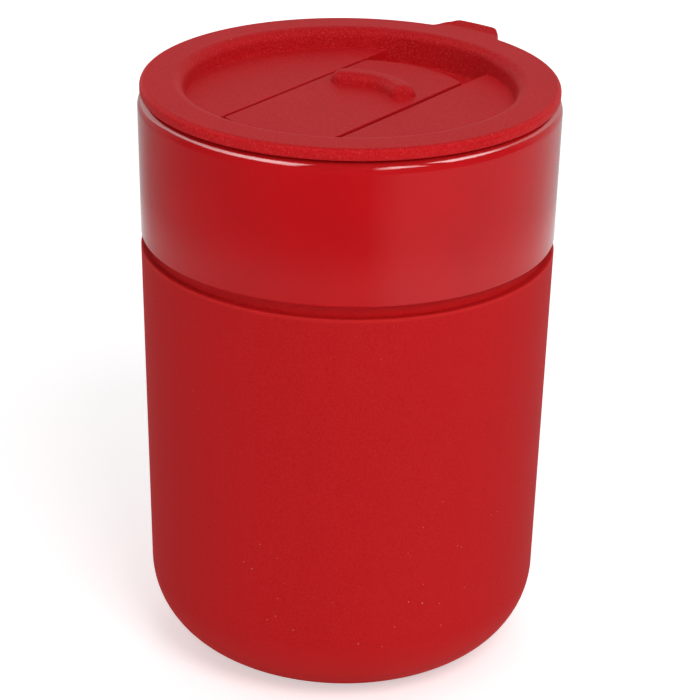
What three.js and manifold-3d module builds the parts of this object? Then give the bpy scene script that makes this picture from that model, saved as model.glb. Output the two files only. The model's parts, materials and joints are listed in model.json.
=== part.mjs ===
// A ceramic travel mug: a glazed ceramic cup in a silicone sleeve, closed by a press-in plastic lid
// with a sealing ring, a lift tab and a slider that covers the drinking hole.
// Millimetres, +Z up. The origin is the centre of the resting face.
// The drinker sits at -Y and the lift tab is at +Y.

import * as THREE from 'three';
import { mergeVertices } from 'three/addons/utils/BufferGeometryUtils.js';
import Module from 'manifold-3d';

const wasm = await Module();
wasm.setup();

// Whole mug
const TOTAL_HEIGHT = 123; // table to the top of the lid's rim
const FIT_GAP = 0.3; // between pieces that seat on or grip each other

// Ceramic cup
const BODY_RADIUS = 42.7; // bare glazed band at the lip, the widest place
const BAND_TAPER = 0.55; // how much narrower the band is at the groove
const BAND_HEIGHT = 29.4; // lip down to the groove
const BAND_EDGE = 0.9; // rounding of the band's lower edge
const LIP_WALL = 5.5; // wall at the mouth
const LIP_OUTER_ROUND = 2.8;
const LIP_INNER_ROUND = 1.2;
const GROOVE_HEIGHT = 2.4; // open groove between the band and the sleeve
const GROOVE_ROUND = 0.5;
const CUP_WALL = 4.2; // wall inside the sleeve
const CUP_FLOOR = 5;
const CUP_INNER_ROUND = 10;
const FOOT_WIDTH = 3.6; // unglazed foot ring
const FOOT_RECESS = 1;

// Silicone sleeve
const SLEEVE_INSET = 0.5; // the sleeve's top edge stands this far inside the lip
const SLEEVE_TAPER = 1.95; // how much narrower the straight side is, carried down to the table
const SLEEVE_WALL = 2.6;
const SLEEVE_FLOOR = 3;
const SLEEVE_ROUND = 17.4; // large round between side and base
const SLEEVE_TOP_EDGE = 0.4;

// Lid body
const RIM_INSET = 0.5; // the lid's edge stands this far inside the band
const RIM_THICKNESS = 2.4;
const RIM_TOP_ROUND = 1.1;
const RIM_UNDER_ROUND = 0.5;
const WELL_DEPTH = 4;
const WELL_WALL = 3.5; // between the well's floor and the outside of the skirt
const WELL_DRAFT = 1.4; // how much wider the well is at its mouth
const WELL_TOP_ROUND = 1.9;
const WELL_FOOT_ROUND = 0.7;
const LID_FLOOR = 2;
const SKIRT_DEPTH = 13.6; // below the rim
const SKIRT_WALL = 2.6;
const SKIRT_ROUND = 0.8;
const PLUG_CLEARANCE = 0.8; // skirt to cup mouth
const TRACK_WIDTH = 25.5; // sunk track that the slider runs in
const TRACK_NEAR_FLOOR = 4.2; // well floor left beyond the track's rounded end, on the drinker's side
const TRACK_FLOOR = 1.8;
const TRACK_WALL = 1.6;
const DRINK_HOLE_WIDTH = 14;
const DRINK_HOLE_ROUND = 2.4;
const DRINK_HOLE_COVER = 2; // the closed slider reaches this far past the hole

// Lift tab
const TAB_REACH = 3.5; // beyond the rim
const TAB_ROOT_WIDTH = 16;
const TAB_TIP_WIDTH = 9.4;
const TAB_THICKNESS = 1.7;
const TAB_LIFT = 1.1; // its tip curls up this much
const TAB_CORNER = 1.3;
const TAB_FLARE = 4; // hollow round where it leaves the rim

// Sealing ring
const GASKET_HEIGHT = 4.4;
const GASKET_SEAT_DEPTH = 1; // groove in the skirt
const GASKET_OFFSET = 4.2; // rim to the groove
const GASKET_LIP_COUNT = 2;
const GASKET_LIP_FOOT = 0.6; // share of its pitch that a lip stands on
const GASKET_LIP_BEND = 0.35; // lips lean up as the lid goes in

// Slider
const SLIDER_TRAVEL = 7;
const SLIDER_THICKNESS = 2.3;
const SLIDER_PROUD = 0.1; // above the well's floor
const SLIDER_GAP = 0.8; // to the sides and near end of the track
const SLIDER_STOP_GAP = 0.9; // to the well's wall when fully open
const SLIDER_EDGE = 0.4;
const RIDGE_CHORD = 20.2; // thumb ridge, tip to tip
const RIDGE_RISE = 4.7; // how far its bow stands out towards the tab
const RIDGE_APEX = 9.8; // middle of the bow from the lid's axis, slider closed
const RIDGE_WIDTH = 5.4;
const RIDGE_HEIGHT = 2.3;
const POST_RADIUS = 2;
const POST_PLACES = [-5, 8]; // along the track, slider closed
const POST_SLOT_GAP = 0.4;
const POST_HEAD_RADIUS = 2.9; // flattened end under the keeper
const POST_HEAD_HEIGHT = 0.9;

// Slider keeper and seal
const KEEPER_WIDTH = 12;
const KEEPER_THICKNESS = 1.6;
const KEEPER_MARGIN = 4; // beyond the posts, along the track
const KEEPER_CORNER = 3;
const SEAL_THICKNESS = 0.9;
const SEAL_MARGIN = 1; // inside the slider's near end
const SEAL_COVER = 1.4; // past the drinking hole's sides and far edge

// Rounds and facets
const FULL_ROUND = 0.9; // round of a narrow end, as a share of half its width
const SIDES = 56; // round a turned piece
const POST_SIDES = 24;
const FACET_SAG = 0.08; // how far a flat may stand off a true arc
const OVERCUT = 1; // cutting tools run this far past the surface

// Places worked out from the sizes above. Lid heights are from the rim's top.
const lipZ = TOTAL_HEIGHT - RIM_THICKNESS - FIT_GAP;
const bandBottomZ = lipZ - BAND_HEIGHT;
const sleeveTopZ = bandBottomZ - GROOVE_HEIGHT;
const bandBottomRadius = BODY_RADIUS - BAND_TAPER;
const sleeveTopRadius = BODY_RADIUS - SLEEVE_INSET;
const sleeveBaseRadius = sleeveTopRadius - SLEEVE_TAPER;
const mouthRadius = BODY_RADIUS - LIP_WALL;
const lidRadius = BODY_RADIUS - RIM_INSET;
const skirtRadius = mouthRadius - PLUG_CLEARANCE;
const skirtInnerRadius = skirtRadius - SKIRT_WALL;
const wellFloorRadius = skirtRadius - WELL_WALL;
const wellMouthRadius = wellFloorRadius + WELL_DRAFT;
const sliderTopZ = -WELL_DEPTH + SLIDER_PROUD;
const trackTopZ = sliderTopZ - SLIDER_THICKNESS - FIT_GAP;
const trackUnderZ = trackTopZ - TRACK_FLOOR;
const trackHalf = TRACK_WIDTH / 2;
const trackNearRadius = wellFloorRadius - TRACK_NEAR_FLOOR;
const sliderHalf = trackHalf - SLIDER_GAP;
const sliderNearRadius = trackNearRadius - SLIDER_GAP;
const sliderFarRadius = wellFloorRadius - SLIDER_TRAVEL - SLIDER_STOP_GAP;
const holeNearY = -sliderNearRadius + DRINK_HOLE_COVER;
const holeFarY = -sliderNearRadius + SLIDER_TRAVEL;
const gasketSeatRadius = skirtRadius - GASKET_SEAT_DEPTH;
const gasketTopZ = -RIM_THICKNESS - GASKET_OFFSET;

// The sleeve's straight side, at a height above the table.
function sleeveRadiusAt(z) {
  return sleeveBaseRadius + ((sleeveTopRadius - sleeveBaseRadius) * z) / sleeveTopZ;
}

// Points of an arc about a centre, from one angle to another, in radians.
function arc(x, y, radius, from, to) {
  const step = 2 * Math.acos(1 - Math.min(FACET_SAG / radius, 1));
  const steps = Math.max(2, Math.ceil(Math.abs(to - from) / step));
  return Array.from({ length: steps + 1 }, (_, k) => {
    const angle = from + ((to - from) * k) / steps;
    return new THREE.Vector2(x + radius * Math.cos(angle), y + radius * Math.sin(angle));
  });
}

// A closed outline through corners given as [x, y, round]: a round replaces its corner by a tangent arc.
function outline(corners) {
  const count = corners.length;
  const place = (i) => new THREE.Vector2(...corners[(i + count) % count]);
  return corners.flatMap(([x, y, round = 0], i) => {
    if (!round) return [new THREE.Vector2(x, y)];
    const corner = place(i);
    const back = place(i - 1).sub(corner).normalize();
    const ahead = place(i + 1).sub(corner).normalize();
    const half = Math.acos(back.dot(ahead)) / 2;
    const inwards = back.clone().add(ahead).normalize();
    const centre = inwards.multiplyScalar(round / Math.sin(half)).add(corner);
    const reach = round / Math.tan(half);
    const from = back.multiplyScalar(reach).add(corner).sub(centre).angle();
    const to = ahead.multiplyScalar(reach).add(corner).sub(centre).angle();
    const turn = THREE.MathUtils.euclideanModulo(to - from + Math.PI, 2 * Math.PI) - Math.PI;
    return arc(centre.x, centre.y, round, from, from + turn);
  });
}

// A rectangle with rounded corners.
function roundedBox(fromX, toX, fromY, toY, round) {
  return outline([
    [fromX, fromY, round],
    [toX, fromY, round],
    [toX, toY, round],
    [fromX, toY, round],
  ]);
}

// A plan with straight sides and two ends rounded about the lid's axis.
function trackPlan(half, nearRadius, farRadius) {
  const near = Math.asin(half / nearRadius);
  const far = Math.asin(half / farRadius);
  return [
    ...arc(0, 0, nearRadius, -Math.PI / 2 - near, -Math.PI / 2 + near),
    ...arc(0, 0, farRadius, Math.PI / 2 - far, Math.PI / 2 + far),
  ];
}

// A plan with a near end rounded about the lid's axis and a straight far end.
function sealPlan(half, nearRadius, farY) {
  const near = Math.asin(half / nearRadius);
  return [
    ...arc(0, 0, nearRadius, -Math.PI / 2 - near, -Math.PI / 2 + near),
    new THREE.Vector2(half, farY),
    new THREE.Vector2(-half, farY),
  ];
}

// An outline in radius and height turned about Z. It ends on the axis at both ends, or closes on itself.
function turned(points) {
  const onAxis = points[0].x === 0 && points.at(-1).x === 0;
  const closed = onAxis ? points : [...points, points[0].clone()];
  return new THREE.LatheGeometry(closed, SIDES).rotateX(Math.PI / 2);
}

// An outline in X and Y raised from one height to another, with its edges eased if asked.
function raised(points, fromZ, toZ, ease = 0) {
  const settings = { depth: toZ - fromZ - 2 * ease, bevelEnabled: ease > 0 };
  const bevel = { bevelThickness: ease, bevelSize: ease, bevelOffset: -ease, bevelSegments: 2 };
  const shape = new THREE.Shape(points);
  return new THREE.ExtrudeGeometry(shape, { ...settings, ...bevel }).translate(0, 0, fromZ + ease);
}

// An outline in Y and Z drawn out along X, centred.
function drawnAlongX(points, width) {
  const axes = new THREE.Matrix4().makeBasis(
    new THREE.Vector3(0, 1, 0),
    new THREE.Vector3(0, 0, 1),
    new THREE.Vector3(1, 0, 0),
  );
  return raised(points, -width / 2, width / 2).applyMatrix4(axes);
}

// A round bar standing along Z at a place on the track.
function bar(radius, y, fromZ, toZ) {
  const geometry = new THREE.CylinderGeometry(radius, radius, toZ - fromZ, POST_SIDES);
  return geometry.rotateX(Math.PI / 2).translate(0, y, (fromZ + toZ) / 2);
}

// A closed geometry as a solid that can be joined and cut.
function solid(geometry) {
  const bare = geometry.clone();
  bare.deleteAttribute('normal');
  bare.deleteAttribute('uv');
  const merged = mergeVertices(bare);
  const corners = merged.index.array;
  const kept = [];
  for (let i = 0; i < corners.length; i += 3) {
    const [a, b, c] = corners.subarray(i, i + 3);
    if (a !== b && b !== c && c !== a) kept.push(a, b, c);
  }
  return new wasm.Manifold(
    new wasm.Mesh({
      numProp: 3,
      vertProperties: new Float32Array(merged.attributes.position.array),
      triVerts: new Uint32Array(kept),
    }),
  );
}

// A solid as a geometry again.
function geometryOf(body) {
  const mesh = body.getMesh();
  const geometry = new THREE.BufferGeometry();
  geometry.setAttribute('position', new THREE.BufferAttribute(new Float32Array(mesh.vertProperties), 3));
  geometry.setIndex(new THREE.BufferAttribute(new Uint32Array(mesh.triVerts), 1));
  geometry.computeVertexNormals();
  return geometry;
}

function piece(name, geometry, surface) {
  const material = new THREE.MeshStandardMaterial({ ...surface, metalness: 0 });
  const mesh = new THREE.Mesh(geometry, material);
  mesh.name = name;
  return mesh;
}

// Ceramic cup: a thick glazed band on top, stepping in to a thinner body that the sleeve grips.
// The outside runs a fit gap inside the sleeve, so it keeps the sleeve's taper and base round.
function ceramicCup() {
  const offset = SLEEVE_WALL + FIT_GAP;
  const baseZ = SLEEVE_FLOOR + FIT_GAP;
  const floorZ = baseZ + CUP_FLOOR;
  const outside = (z) => sleeveRadiusAt(z) - offset;
  const inside = (z) => outside(z) - CUP_WALL;
  const stepZ = sleeveTopZ - CUP_WALL; // the bore starts to open out to the mouth here
  const baseRound = SLEEVE_ROUND - offset;
  const footRadius = outside(baseZ) - baseRound - FOOT_WIDTH;
  return turned(
    outline([
      [0, baseZ + FOOT_RECESS],
      [footRadius - FOOT_RECESS, baseZ + FOOT_RECESS],
      [footRadius, baseZ],
      [outside(baseZ), baseZ, baseRound],
      [outside(bandBottomZ), bandBottomZ, GROOVE_ROUND],
      [bandBottomRadius, bandBottomZ, BAND_EDGE],
      [BODY_RADIUS, lipZ, LIP_OUTER_ROUND],
      [mouthRadius, lipZ, LIP_INNER_ROUND],
      [mouthRadius, bandBottomZ + CUP_WALL, CUP_INNER_ROUND],
      [inside(stepZ), stepZ, CUP_INNER_ROUND],
      [inside(floorZ), floorZ, CUP_INNER_ROUND],
      [0, floorZ],
    ]),
  );
}

// Silicone sleeve: a boot with a tapering side, a large base round and a flat base.
function siliconeSleeve() {
  const inside = (z) => sleeveRadiusAt(z) - SLEEVE_WALL;
  return turned(
    outline([
      [0, 0],
      [sleeveRadiusAt(0), 0, SLEEVE_ROUND],
      [sleeveTopRadius, sleeveTopZ, SLEEVE_TOP_EDGE],
      [inside(sleeveTopZ), sleeveTopZ],
      [inside(SLEEVE_FLOOR), SLEEVE_FLOOR, SLEEVE_ROUND - SLEEVE_WALL],
      [0, SLEEVE_FLOOR],
    ]),
  );
}

// Rim, well, floor and plug skirt with the groove for the sealing ring.
function lidShell() {
  const floorUnderZ = -WELL_DEPTH - LID_FLOOR;
  const skirtBottomZ = -RIM_THICKNESS - SKIRT_DEPTH;
  return turned(
    outline([
      [0, floorUnderZ],
      [skirtInnerRadius, floorUnderZ, SKIRT_ROUND],
      [skirtInnerRadius, skirtBottomZ, SKIRT_ROUND],
      [skirtRadius, skirtBottomZ, SKIRT_ROUND],
      [skirtRadius, gasketTopZ - GASKET_HEIGHT],
      [gasketSeatRadius, gasketTopZ - GASKET_HEIGHT],
      [gasketSeatRadius, gasketTopZ],
      [skirtRadius, gasketTopZ],
      [skirtRadius, -RIM_THICKNESS, SKIRT_ROUND],
      [lidRadius, -RIM_THICKNESS, RIM_UNDER_ROUND],
      [lidRadius, 0, RIM_TOP_ROUND],
      [wellMouthRadius, 0, WELL_TOP_ROUND],
      [wellFloorRadius, -WELL_DEPTH, WELL_FOOT_ROUND],
      [0, -WELL_DEPTH],
    ]),
  );
}

// Lift tab: a plan with rounded corners and hollow flares, crossed with a side view that curls up.
function liftTab() {
  const onRim = (x) => Math.sqrt(lidRadius ** 2 - x ** 2);
  const neck = TAB_ROOT_WIDTH / 2;
  const tip = TAB_TIP_WIDTH / 2;
  const spread = neck + TAB_FLARE;
  const rootY = onRim(spread) - 2 * RIM_TOP_ROUND;
  const endY = lidRadius + TAB_REACH;
  const plan = outline([
    [spread, rootY],
    [spread, onRim(spread) - RIM_TOP_ROUND / 2],
    [neck, onRim(neck), TAB_FLARE],
    [tip, endY, TAB_CORNER],
    [-tip, endY, TAB_CORNER],
    [-neck, onRim(neck), TAB_FLARE],
    [-spread, onRim(spread) - RIM_TOP_ROUND / 2],
    [-spread, rootY],
  ]);
  const topZ = -FIT_GAP;
  const curlStartY = lidRadius - RIM_TOP_ROUND;
  const curlRun = endY - curlStartY;
  const curlRadius = (curlRun ** 2 + TAB_LIFT ** 2) / (2 * TAB_LIFT);
  const curlEnd = -Math.PI / 2 + Math.asin(curlRun / curlRadius);
  const side = [
    new THREE.Vector2(rootY, topZ - TAB_THICKNESS),
    ...arc(curlStartY, topZ + curlRadius, curlRadius + TAB_THICKNESS, -Math.PI / 2, curlEnd),
    ...arc(curlStartY, topZ + curlRadius, curlRadius, curlEnd, -Math.PI / 2),
    new THREE.Vector2(rootY, topZ),
  ];
  const height = TAB_LIFT + TAB_THICKNESS + OVERCUT;
  const width = 2 * (spread + OVERCUT);
  return solid(raised(plan, topZ - height, topZ + height)).intersect(solid(drawnAlongX(side, width)));
}

// Lid body: the turned shell, the sunk track hung under its floor, and the lift tab.
function lidBody() {
  const trayRadius = (skirtInnerRadius + gasketSeatRadius) / 2;
  const tray = trackPlan(trackHalf + TRACK_WALL, trackNearRadius + TRACK_WALL, trayRadius);
  const track = trackPlan(trackHalf, trackNearRadius, wellFloorRadius);
  const holeHalf = DRINK_HOLE_WIDTH / 2;
  const hole = roundedBox(-holeHalf, holeHalf, holeNearY, holeFarY, DRINK_HOLE_ROUND);
  const slotHalf = POST_RADIUS + POST_SLOT_GAP;
  const slotNearY = POST_PLACES[0] - slotHalf;
  const slotFarY = POST_PLACES[1] + SLIDER_TRAVEL + slotHalf;
  const slot = roundedBox(-slotHalf, slotHalf, slotNearY, slotFarY, FULL_ROUND * slotHalf);
  const through = (plan) => solid(raised(plan, trackUnderZ - OVERCUT, trackTopZ + OVERCUT));
  const body = solid(lidShell())
    .add(solid(raised(tray, trackUnderZ, -WELL_DEPTH - LID_FLOOR / 2)))
    .add(liftTab())
    .subtract(solid(raised(track, trackTopZ, -WELL_DEPTH + WELL_FOOT_ROUND)))
    .subtract(through(hole))
    .subtract(through(slot));
  return geometryOf(body);
}

// Sealing ring: a band seated in the skirt's groove, with lips that bear on the cup's mouth.
function lidGasket() {
  const inner = gasketSeatRadius + FIT_GAP;
  const outer = mouthRadius - FIT_GAP;
  const root = (inner + outer) / 2;
  const top = gasketTopZ - FIT_GAP;
  const bottom = gasketTopZ - GASKET_HEIGHT + FIT_GAP;
  const pitch = (top - bottom) / GASKET_LIP_COUNT;
  const lips = Array.from({ length: GASKET_LIP_COUNT }, (_, i) => {
    const foot = bottom + i * pitch;
    const middle = foot + pitch / 2;
    const halfFoot = (pitch * GASKET_LIP_FOOT) / 2;
    return [
      [root, middle - halfFoot],
      [outer, middle + GASKET_LIP_BEND],
      [root, middle + halfFoot],
    ];
  });
  return turned(outline([[inner, bottom], [root, bottom], ...lips.flat(), [root, top], [inner, top]]));
}

// Thumb ridge: a rounded bar bowed towards the tab, with domed ends. Heights are from the slider's top.
function thumbRidge() {
  const half = RIDGE_WIDTH / 2;
  const sunkZ = -SLIDER_THICKNESS / 2;
  const round = FULL_ROUND * half;
  const halfChord = RIDGE_CHORD / 2;
  const radius = (halfChord ** 2 + RIDGE_RISE ** 2) / (2 * RIDGE_RISE);
  const spread = Math.asin((halfChord - half) / radius);
  const centreY = RIDGE_APEX - radius;
  const ring = turned(
    outline([
      [radius - half, sunkZ],
      [radius + half, sunkZ],
      [radius + half, RIDGE_HEIGHT, round],
      [radius - half, RIDGE_HEIGHT, round],
    ]),
  );
  const sector = [
    new THREE.Vector2(0, 0),
    ...arc(0, 0, 2 * radius, Math.PI / 2 - spread, Math.PI / 2 + spread),
  ];
  const bow = solid(ring).intersect(solid(raised(sector, sunkZ - OVERCUT, RIDGE_HEIGHT + OVERCUT)));
  const dome = outline([
    [0, sunkZ],
    [half, sunkZ],
    [half, RIDGE_HEIGHT, round],
    [0, RIDGE_HEIGHT],
  ]);
  const end = (side) =>
    solid(turned(dome).translate(side * radius * Math.sin(spread), radius * Math.cos(spread), 0));
  return bow.add(end(-1)).add(end(1)).translate(0, centreY, 0);
}

// Slider: an eased plate with a thumb ridge on top, and underneath a pocket for the seal
// and two posts that go through the track's slot and end in flattened heads.
function lidSlider() {
  const plan = trackPlan(sliderHalf, sliderNearRadius, sliderFarRadius);
  const pocketHalf = DRINK_HOLE_WIDTH / 2 + SEAL_COVER + FIT_GAP;
  const pocketNear = sliderNearRadius - SEAL_MARGIN + FIT_GAP;
  const pocket = sealPlan(pocketHalf, pocketNear, holeFarY + SEAL_COVER + FIT_GAP);
  const pocketTopZ = -SLIDER_THICKNESS + SEAL_THICKNESS + FIT_GAP;
  const headTopZ = trackUnderZ - sliderTopZ - KEEPER_THICKNESS - 2 * FIT_GAP;
  const plate = solid(raised(plan, -SLIDER_THICKNESS, 0, SLIDER_EDGE))
    .subtract(solid(raised(pocket, -SLIDER_THICKNESS - OVERCUT, pocketTopZ)))
    .add(thumbRidge());
  const body = POST_PLACES.reduce((joined, y) => {
    const post = solid(bar(POST_RADIUS, y, headTopZ - POST_HEAD_HEIGHT / 2, -SLIDER_THICKNESS / 2));
    const head = solid(bar(POST_HEAD_RADIUS, y, headTopZ - POST_HEAD_HEIGHT, headTopZ));
    return joined.add(post).add(head);
  }, plate);
  return geometryOf(body);
}

// Keeper: a plate under the track, held by the slider's two post heads.
function sliderKeeper() {
  const half = KEEPER_WIDTH / 2;
  const nearY = POST_PLACES[0] - KEEPER_MARGIN;
  const farY = POST_PLACES[1] + KEEPER_MARGIN;
  const topZ = trackUnderZ - sliderTopZ - FIT_GAP;
  const underZ = topZ - KEEPER_THICKNESS;
  const plate = solid(raised(roundedBox(-half, half, nearY, farY, KEEPER_CORNER), underZ, topZ));
  const body = POST_PLACES.reduce(
    (cut, y) => cut.subtract(solid(bar(POST_RADIUS + FIT_GAP, y, underZ - OVERCUT, topZ + OVERCUT))),
    plate,
  );
  return geometryOf(body);
}

// Slider seal: a soft pad let into the slider's underside, covering the drinking hole.
function sliderSeal() {
  const half = DRINK_HOLE_WIDTH / 2 + SEAL_COVER;
  const plan = sealPlan(half, sliderNearRadius - SEAL_MARGIN, holeFarY + SEAL_COVER);
  return raised(plan, -SLIDER_THICKNESS, -SLIDER_THICKNESS + SEAL_THICKNESS);
}

const RED_GLAZE = { color: 0xb5161a, roughness: 0.12 };
const RED_SILICONE = { color: 0xb01a1d, roughness: 0.75 };
const RED_PLASTIC = { color: 0xb2191d, roughness: 0.6 };
const CLEAR_SILICONE = { color: 0xd8d4cc, roughness: 0.6 };

const cup = new THREE.Group();
cup.add(piece('ceramic_cup', ceramicCup(), RED_GLAZE));
cup.add(piece('silicone_sleeve', siliconeSleeve(), RED_SILICONE));

const slide = new THREE.Group();
slide.add(piece('lid_slider', lidSlider(), RED_PLASTIC));
slide.add(piece('slider_keeper', sliderKeeper(), RED_PLASTIC));
slide.add(piece('slider_seal', sliderSeal(), CLEAR_SILICONE));
slide.position.z = sliderTopZ;

const lid = new THREE.Group();
lid.add(piece('lid_body', lidBody(), RED_PLASTIC));
lid.add(piece('lid_gasket', lidGasket(), CLEAR_SILICONE));
lid.add(slide);
lid.position.z = TOTAL_HEIGHT;

const mug = new THREE.Group();
mug.add(cup);
mug.add(lid);

export default mug;
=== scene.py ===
import json
import math

import bpy
import numpy as np
from bpy.props import FloatProperty, FloatVectorProperty, PointerProperty
from bpy.types import Operator, Panel, PropertyGroup
from mathutils import Matrix, Vector


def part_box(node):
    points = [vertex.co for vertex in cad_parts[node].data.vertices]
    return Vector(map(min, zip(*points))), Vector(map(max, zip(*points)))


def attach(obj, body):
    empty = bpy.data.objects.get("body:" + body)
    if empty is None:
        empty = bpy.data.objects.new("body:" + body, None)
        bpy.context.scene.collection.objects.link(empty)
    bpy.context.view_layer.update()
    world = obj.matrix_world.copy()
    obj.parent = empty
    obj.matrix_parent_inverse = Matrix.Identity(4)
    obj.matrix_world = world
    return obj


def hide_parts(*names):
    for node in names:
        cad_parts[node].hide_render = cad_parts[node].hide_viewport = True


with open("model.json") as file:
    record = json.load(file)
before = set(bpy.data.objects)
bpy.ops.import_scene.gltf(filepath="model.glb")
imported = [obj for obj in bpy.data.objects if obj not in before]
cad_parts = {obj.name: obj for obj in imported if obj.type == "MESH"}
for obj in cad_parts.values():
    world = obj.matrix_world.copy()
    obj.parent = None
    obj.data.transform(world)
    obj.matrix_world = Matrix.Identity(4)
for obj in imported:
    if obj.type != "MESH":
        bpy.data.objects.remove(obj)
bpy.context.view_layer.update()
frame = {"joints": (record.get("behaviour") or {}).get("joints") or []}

bl_info = {
    "name": "Ceramic travel mug",
    "version": (1, 0, 0),
    "blender": (4, 5, 0),
    "location": "3D View > Sidebar > Mug",
    "description": "Dresses a glazed cup, its silicone sleeve and its sliding lid",
    "category": "Add Mesh",
}

MM = 0.001
FIT = 0.3 * MM  # clearance between pieces that seat or slide on each other
TURN_STEPS = 288  # faces round the cup and the sleeve
SHARP_ANGLE = math.radians(38)  # steeper edges stay crisp
MIX_FACTOR, MIX_LOW, MIX_HIGH, MIX_RESULT = 0, 6, 7, 2  # sockets of a Mix node for colours

cup_low, cup_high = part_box("ceramic_cup")
sleeve_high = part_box("silicone_sleeve")[1]
gasket_low, gasket_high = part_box("lid_gasket")
slider_low, slider_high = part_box("lid_slider")
keeper_low, keeper_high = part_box("slider_keeper")
seal_low, seal_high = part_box("slider_seal")


def length(name, description, default):
    """A size that a user may change, in metres."""
    return FloatProperty(name=name, description=description, default=default, unit="LENGTH", precision=5)


def colour(name, description, default):
    """A surface colour, in linear light."""
    return FloatVectorProperty(
        name=name, description=description, default=default, subtype="COLOR", size=3, min=0, max=1
    )


def angle(name, description, degrees):
    """A turn, given in degrees."""
    return FloatProperty(name=name, description=description, default=math.radians(degrees), subtype="ANGLE")


def share(name, description, default):
    """A number from none to all."""
    return FloatProperty(name=name, description=description, default=default, subtype="FACTOR", min=0, max=1)


class CupSettings(PropertyGroup):
    """Glazed ceramic cup."""

    radius: length("Band radius", "Bare glazed band at the lip", 42.7 * MM)
    lip_height: length("Lip height", "Table to the lip", cup_high.z)
    base_height: length("Base height", "Table to the foot ring, inside the sleeve", cup_low.z)
    band_height: length("Band height", "Lip down to the groove", 29.4 * MM)
    band_taper: length("Band taper", "How much narrower the band is at the groove", 0.55 * MM)
    band_edge: length("Band edge", "Rounding of the band's lower edge", 0.6 * MM)
    lip_wall: length("Lip wall", "Wall at the mouth", 5.5 * MM)
    lip_outer_round: length("Lip outer round", "Rounding on the outside of the lip", 2.8 * MM)
    lip_inner_round: length("Lip inner round", "Rounding on the inside of the lip", 1.2 * MM)
    wall: length("Wall", "Wall inside the sleeve", 4.4 * MM)
    floor: length("Floor", "Thickness of the floor", 5.0 * MM)
    inner_round: length("Inner round", "Rounding at the foot of the inside", 10.0 * MM)
    foot_width: length("Foot width", "Width of the foot ring", 3.6 * MM)
    foot_recess: length("Foot recess", "Height of the hollow inside the foot ring", 1.0 * MM)
    sleeve_gap: length("Sleeve gap", "Between the cup and its sleeve", 0.06 * MM)
    glaze: colour("Glaze", "Colour of the fired glaze", (0.53, 0.0075, 0.0105))
    glaze_thin: colour("Thin glaze", "Colour where the glaze runs thin, at the lip", (0.53, 0.014, 0.016))
    gloss_roughness: share("Glaze roughness", "Roughness of the glaze", 0.055)


class SleeveSettings(PropertyGroup):
    """Silicone sleeve round the cup."""

    radius: length("Top radius", "Sleeve at its top edge", 42.2 * MM)
    height: length("Height", "Table to the top edge", sleeve_high.z)
    taper: length("Taper", "How much narrower the straight side is, carried down to the table", 1.95 * MM)
    wall: length("Wall", "Thickness of the side", 2.6 * MM)
    groove_depth: length("Groove depth", "Top edge in to the collar under the band", 1.6 * MM)
    floor: length("Floor", "Thickness of the base", 3.0 * MM)
    base_round: length("Base round", "Large round between side and base", 17.4 * MM)
    top_edge: length("Top edge", "Rounding of the top edge", 0.35 * MM)
    silicone: colour("Silicone", "Colour of the sleeve", (0.515, 0.0040, 0.0060))
    # the crumbs' lighter, pinker colour is a painted sheen on the silicone's real grain
    crumb_sheen: colour("Crumb sheen", "Colour of the skin's raised crumbs", (0.535, 0.0130, 0.0150))
    dust: colour("Dust", "Colour of the fine dust that silicone picks up", (0.62, 0.36, 0.34))
    # paler colour painted along the top edge as a highlight and round the base as light
    painted_light: colour("Painted light", "Paler colour along the top edge and round the base", (0.575, 0.0150, 0.0155))


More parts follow.
